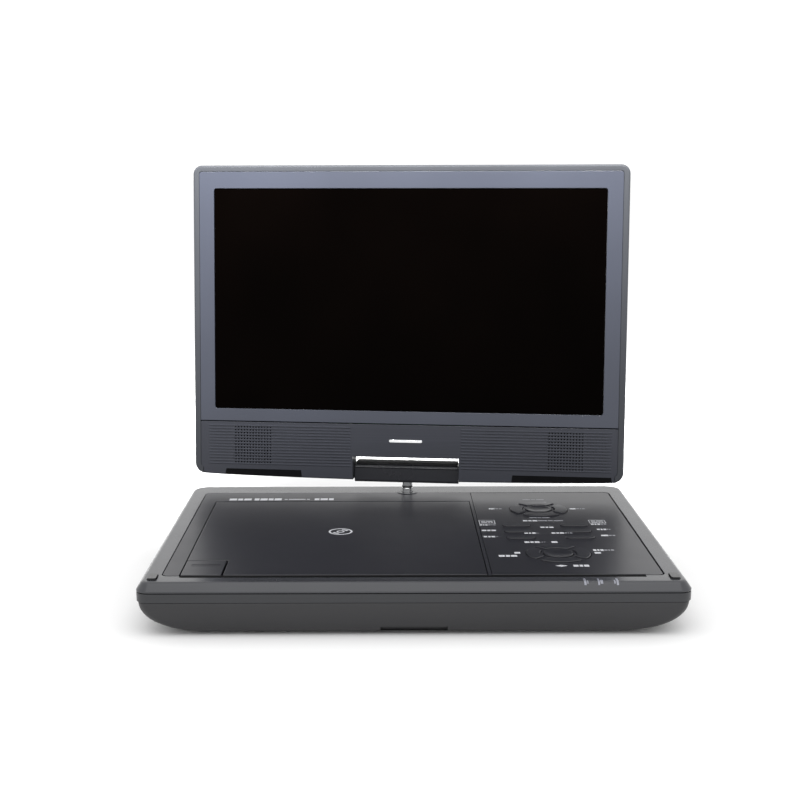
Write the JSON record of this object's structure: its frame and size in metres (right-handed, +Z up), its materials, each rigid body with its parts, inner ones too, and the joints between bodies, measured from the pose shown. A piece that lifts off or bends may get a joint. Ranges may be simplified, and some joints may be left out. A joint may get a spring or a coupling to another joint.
{
  "type": "portable disc player",
  "caption": "Clamshell portable disc player: flat base with a disc bay and key panel, and a wide screen on a swivelling, tilting hinge block.",
  "frame": {"origin": "on the table, under the middle of the outline of the player standing open", "axes": "+X to the viewer's right along the base's width, +Y from the front edge towards the back, +Z up"},
  "size_m": [0.254, 0.2095, 0.2128],
  "materials": {
    "trim_plastic": "glossy dark grey",
    "shell_plastic": "satin charcoal",
    "deck_plastic": "high gloss near black",
    "key_plastic": "gloss near black",
    "lid_plastic": "glossy dark grey",
    "bezel_plastic": "gloss blue grey",
    "grille_plastic": "satin ribbed",
    "hinge_plastic": "satin black",
    "display_window": "polished black",
    "rubber": "matt black",
    "black_plastic": "fine moulded",
    "steel": "brushed sheet",
    "display_module": "satin grey frame",
    "chrome": "bright turned",
    "circuit_board": "solder mask green",
    "battery_wrap": "shrink wrap blue",
    "white_plastic": "natural acetal",
    "clear_plastic": "clear moulded"
  },
  "bodies": {
    "base": {"top_trim": "trim_plastic", "upper_case": "shell_plastic", "lower_case": "shell_plastic", "foot_front_left": "rubber", "foot_front_right": "rubber", "foot_back_left": "rubber", "foot_back_right": "rubber", "bumper_left": "rubber", "bumper_right": "rubber", "disc_bay": "deck_plastic", "mech_chassis": "steel", "rail_front": "steel", "rail_back": "steel", "spindle_motor": "steel", "feed_motor": "steel", "main_board": "circuit_board", "key_board": "circuit_board", "battery_pack": "battery_wrap", "headphone_jack": "black_plastic", "av_jack": "black_plastic", "dc_jack": "black_plastic", "port_block": "steel", "light_guide": "clear_plastic", "control_panel": "deck_plastic", "swivel_bearing": "chrome"},
    "door": {"disc_door": "deck_plastic"},
    "open_tab": {"open_button": "deck_plastic"},
    "hub": {"spindle_hub": "black_plastic"},
    "pickup": {"pickup_sled": "black_plastic"},
    "pinion": {"feed_pinion": "white_plastic"},
    "power": {"power_switch": "black_plastic"},
    "volume": {"volume_wheel": "black_plastic"},
    "turret": {"swivel_post": "chrome", "hinge_block": "hinge_plastic"},
    "screen": {"lid_back": "lid_plastic", "lid_bezel": "bezel_plastic", "speaker_panel": "grille_plastic", "lcd_panel": "display_module", "screen_window": "display_window", "speaker_left": "black_plastic", "speaker_right": "black_plastic", "panel_board": "circuit_board", "tilt_shaft_left": "steel", "tilt_shaft_right": "steel"},
    "key_pad_a_up": {"pad_a_up": "key_plastic"},
    "key_pad_a_left": {"pad_a_left": "key_plastic"},
    "key_pad_a_down": {"pad_a_down": "key_plastic"},
    "key_pad_a_right": {"pad_a_right": "key_plastic"},
    "key_pad_a_centre": {"pad_a_centre": "key_plastic"},
    "key_pad_b_up": {"pad_b_up": "key_plastic"},
    "key_pad_b_left": {"pad_b_left": "key_plastic"},
    "key_pad_b_down": {"pad_b_down": "key_plastic"},
    "key_pad_b_right": {"pad_b_right": "key_plastic"},
    "key_pad_b_centre": {"pad_b_centre": "key_plastic"},
    "key_bar_left_1": {"bar_left_1": "key_plastic"},
    "key_bar_left_2": {"bar_left_2": "key_plastic"},
    "key_bar_left_3": {"bar_left_3": "key_plastic"},
    "key_bar_right_1": {"bar_right_1": "key_plastic"},
    "key_bar_right_2": {"bar_right_2": "key_plastic"},
    "key_bar_right_3": {"bar_right_3": "key_plastic"}
  },
  "joints": [
    {"name": "disc_door_hinge", "type": "hinge", "parent": "base", "child": "door", "pos_m": [-0.037, 0.0499, 0.0236], "axis": [-1, 0, 0], "range_deg": [0, 70]},
    {"name": "disc_spin", "type": "hinge", "parent": "base", "child": "hub", "pos_m": [-0.037, -0.0207, 0.015], "axis": [0, 0, 1], "continuous": true},
    {"name": "display_swivel", "type": "hinge", "parent": "base", "child": "turret", "pos_m": [0, 0.0738, 0.0255], "axis": [0, 0, 1], "range_deg": [-172.74, 7.26]},
    {"name": "display_tilt", "type": "hinge", "parent": "turret", "child": "screen", "pos_m": [0, 0.0738, 0.0374], "axis": [-0.992, 0.1264, 0], "range_deg": [-93.9, 56.1]},
    {"name": "feed_pinion_turn", "type": "hinge", "parent": "base", "child": "pinion", "pos_m": [-0.0035, 0.008, 0.0105], "axis": [0, 0, 1], "range_deg": [-10, 340]},
    {"name": "laser_slide", "type": "slide", "parent": "base", "child": "pickup", "axis": [1, 0, 0], "range_m": [0, 0.032]},
    {"name": "open_press", "type": "slide", "parent": "base", "child": "open_tab", "axis": [0, 0, -1], "range_m": [0, 0.0012], "stiffness_N_per_m": 300, "springref_m": -0.0006},
    {"name": "power_slide", "type": "slide", "parent": "base", "child": "power", "axis": [0, 1, 0], "range_m": [0, 0.004]},
    {"name": "volume_turn", "type": "hinge", "parent": "base", "child": "volume", "pos_m": [0.1186, -0.0547, 0.0117], "axis": [0, 0, 1], "range_deg": [-140, 140]},
    {"name": "press_pad_a_up", "type": "slide", "parent": "base", "child": "key_pad_a_up", "axis": [0, 0, -1], "range_m": [0, 0.0006], "stiffness_N_per_m": 300, "springref_m": -0.0005},
    {"name": "press_pad_a_left", "type": "slide", "parent": "base", "child": "key_pad_a_left", "axis": [0, 0, -1], "range_m": [0, 0.0006], "stiffness_N_per_m": 300, "springref_m": -0.0005},
    {"name": "press_pad_a_down", "type": "slide", "parent": "base", "child": "key_pad_a_down", "axis": [0, 0, -1], "range_m": [0, 0.0006], "stiffness_N_per_m": 300, "springref_m": -0.0005},
    {"name": "press_pad_a_right", "type": "slide", "parent": "base", "child": "key_pad_a_right", "axis": [0, 0, -1], "range_m": [0, 0.0006], "stiffness_N_per_m": 300, "springref_m": -0.0005},
    {"name": "press_pad_a_centre", "type": "slide", "parent": "base", "child": "key_pad_a_centre", "axis": [0, 0, -1], "range_m": [0, 0.0006], "stiffness_N_per_m": 300, "springref_m": -0.0005},
    {"name": "press_pad_b_up", "type": "slide", "parent": "base", "child": "key_pad_b_up", "axis": [0, 0, -1], "range_m": [0, 0.0006], "stiffness_N_per_m": 300, "springref_m": -0.0005},
    {"name": "press_pad_b_left", "type": "slide", "parent": "base", "child": "key_pad_b_left", "axis": [0, 0, -1], "range_m": [0, 0.0006], "stiffness_N_per_m": 300, "springref_m": -0.0005},
    {"name": "press_pad_b_down", "type": "slide", "parent": "base", "child": "key_pad_b_down", "axis": [0, 0, -1], "range_m": [0, 0.0006], "stiffness_N_per_m": 300, "springref_m": -0.0005},
    {"name": "press_pad_b_right", "type": "slide", "parent": "base", "child": "key_pad_b_right", "axis": [0, 0, -1], "range_m": [0, 0.0006], "stiffness_N_per_m": 300, "springref_m": -0.0005},
    {"name": "press_pad_b_centre", "type": "slide", "parent": "base", "child": "key_pad_b_centre", "axis": [0, 0, -1], "range_m": [0, 0.0006], "stiffness_N_per_m": 300, "springref_m": -0.0005},
    {"name": "press_bar_left_1", "type": "slide", "parent": "base", "child": "key_bar_left_1", "axis": [0, 0, -1], "range_m": [0, 0.0006], "stiffness_N_per_m": 300, "springref_m": -0.0005},
    {"name": "press_bar_left_2", "type": "slide", "parent": "base", "child": "key_bar_left_2", "axis": [0, 0, -1], "range_m": [0, 0.0006], "stiffness_N_per_m": 300, "springref_m": -0.0005},
    {"name": "press_bar_left_3", "type": "slide", "parent": "base", "child": "key_bar_left_3", "axis": [0, 0, -1], "range_m": [0, 0.0006], "stiffness_N_per_m": 300, "springref_m": -0.0005},
    {"name": "press_bar_right_1", "type": "slide", "parent": "base", "child": "key_bar_right_1", "axis": [0, 0, -1], "range_m": [0, 0.0006], "stiffness_N_per_m": 300, "springref_m": -0.0005},
    {"name": "press_bar_right_2", "type": "slide", "parent": "base", "child": "key_bar_right_2", "axis": [0, 0, -1], "range_m": [0, 0.0006], "stiffness_N_per_m": 300, "springref_m": -0.0005},
    {"name": "press_bar_right_3", "type": "slide", "parent": "base", "child": "key_bar_right_3", "axis": [0, 0, -1], "range_m": [0, 0.0006], "stiffness_N_per_m": 300, "springref_m": -0.0005}
  ],
  "couplings": [
    {"joint": "feed_pinion_turn", "follows": "laser_slide", "rad_per_m": 178.57}
  ]
}
